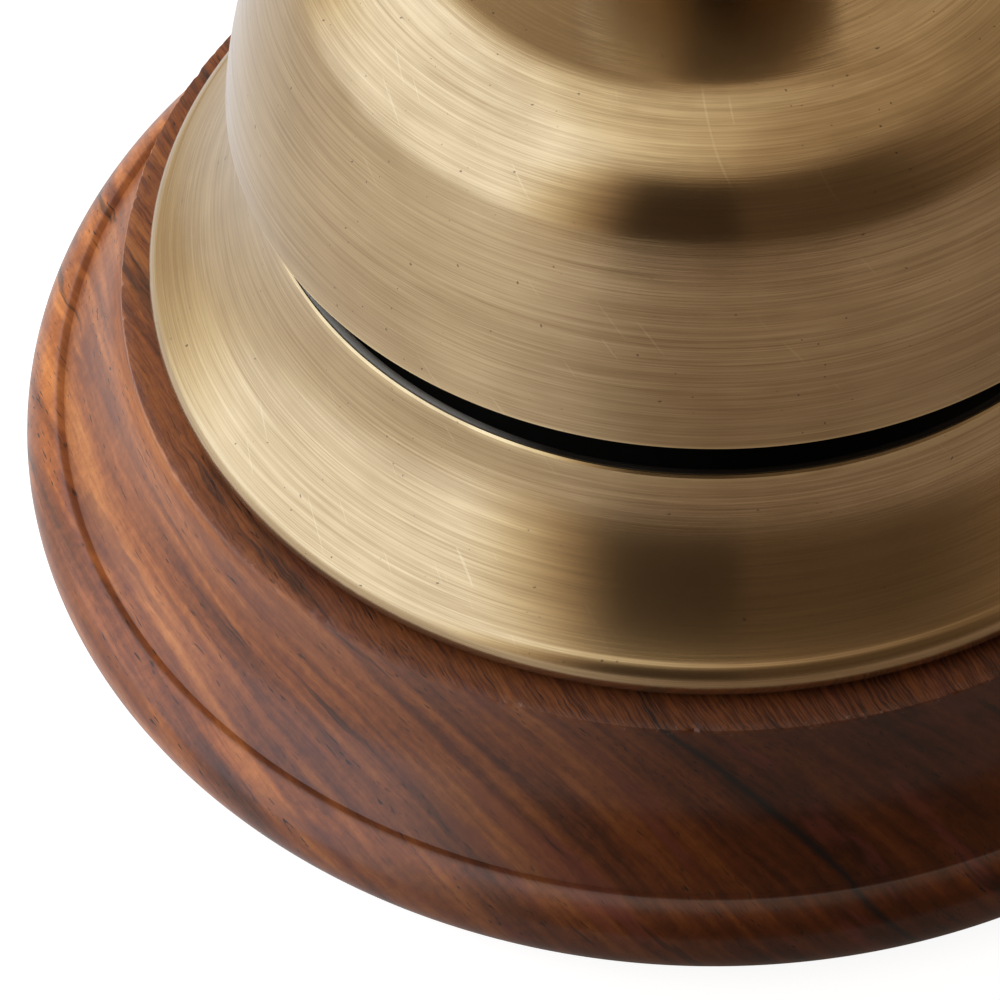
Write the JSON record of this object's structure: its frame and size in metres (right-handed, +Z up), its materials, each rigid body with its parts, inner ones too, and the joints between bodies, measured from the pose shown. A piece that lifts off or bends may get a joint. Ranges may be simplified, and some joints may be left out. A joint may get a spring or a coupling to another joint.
{
  "type": "service bell",
  "caption": "Counter bell: brass dome over a flared brass skirt on a turned wooden plinth, rung by a push button and a rocking hammer.",
  "frame": {"origin": "centre of the felt pad's underside, on the surface the bell stands on", "axes": "+Z up along the bell's axis, +X from the axis towards the hammer"},
  "size_m": [0.1296, 0.1296, 0.097],
  "materials": {
    "aged_brass": "circular brushed, antiqued and lacquered",
    "bright_brass": "turned, uncoated",
    "rosewood": "turned and waxed, satin",
    "plain_steel": "zinc plated",
    "spring_steel": "drawn wire",
    "buffer_rubber": "moulded",
    "fibre": "pressed fibre sheet",
    "felt": "pressed wool felt"
  },
  "bodies": {
    "base": {"felt_pad": "felt", "plinth": "rosewood", "base_skirt": "aged_brass", "dome": "aged_brass", "deck_spacer": "plain_steel", "tie_bolt": "plain_steel", "tie_washer": "plain_steel", "bracket": "plain_steel", "bracket_screws": "bright_brass", "bracket_nuts": "plain_steel", "lever_buffer": "buffer_rubber", "stem": "plain_steel", "spring_seat": "bright_brass", "return_spring": "spring_steel", "fibre_washer": "fibre", "dome_washer": "aged_brass", "collar_nut": "aged_brass", "pivot_pin": "plain_steel", "pivot_clips": "spring_steel"},
    "plunger": {"push_rod": "plain_steel", "stop_collar": "bright_brass", "knob_lock_nut": "bright_brass", "knob": "aged_brass"},
    "hammer": {"lever": "plain_steel", "hammer_head": "bright_brass"}
  },
  "joints": [
    {"name": "push", "type": "slide", "parent": "base", "child": "plunger", "axis": [0, 0, -1], "range_m": [0, 0.0035], "stiffness_N_per_m": 300, "springref_m": -0.002, "deforming": ["return_spring"]},
    {"name": "hammer_swing", "type": "hinge", "parent": "base", "child": "hammer", "pos_m": [0.009, 0, 0.056], "axis": [0, -1, 0], "range_deg": [0, 23.2]}
  ],
  "couplings": [
    {"joint": "hammer_swing", "follows": "push", "rad_per_m": 114}
  ]
}
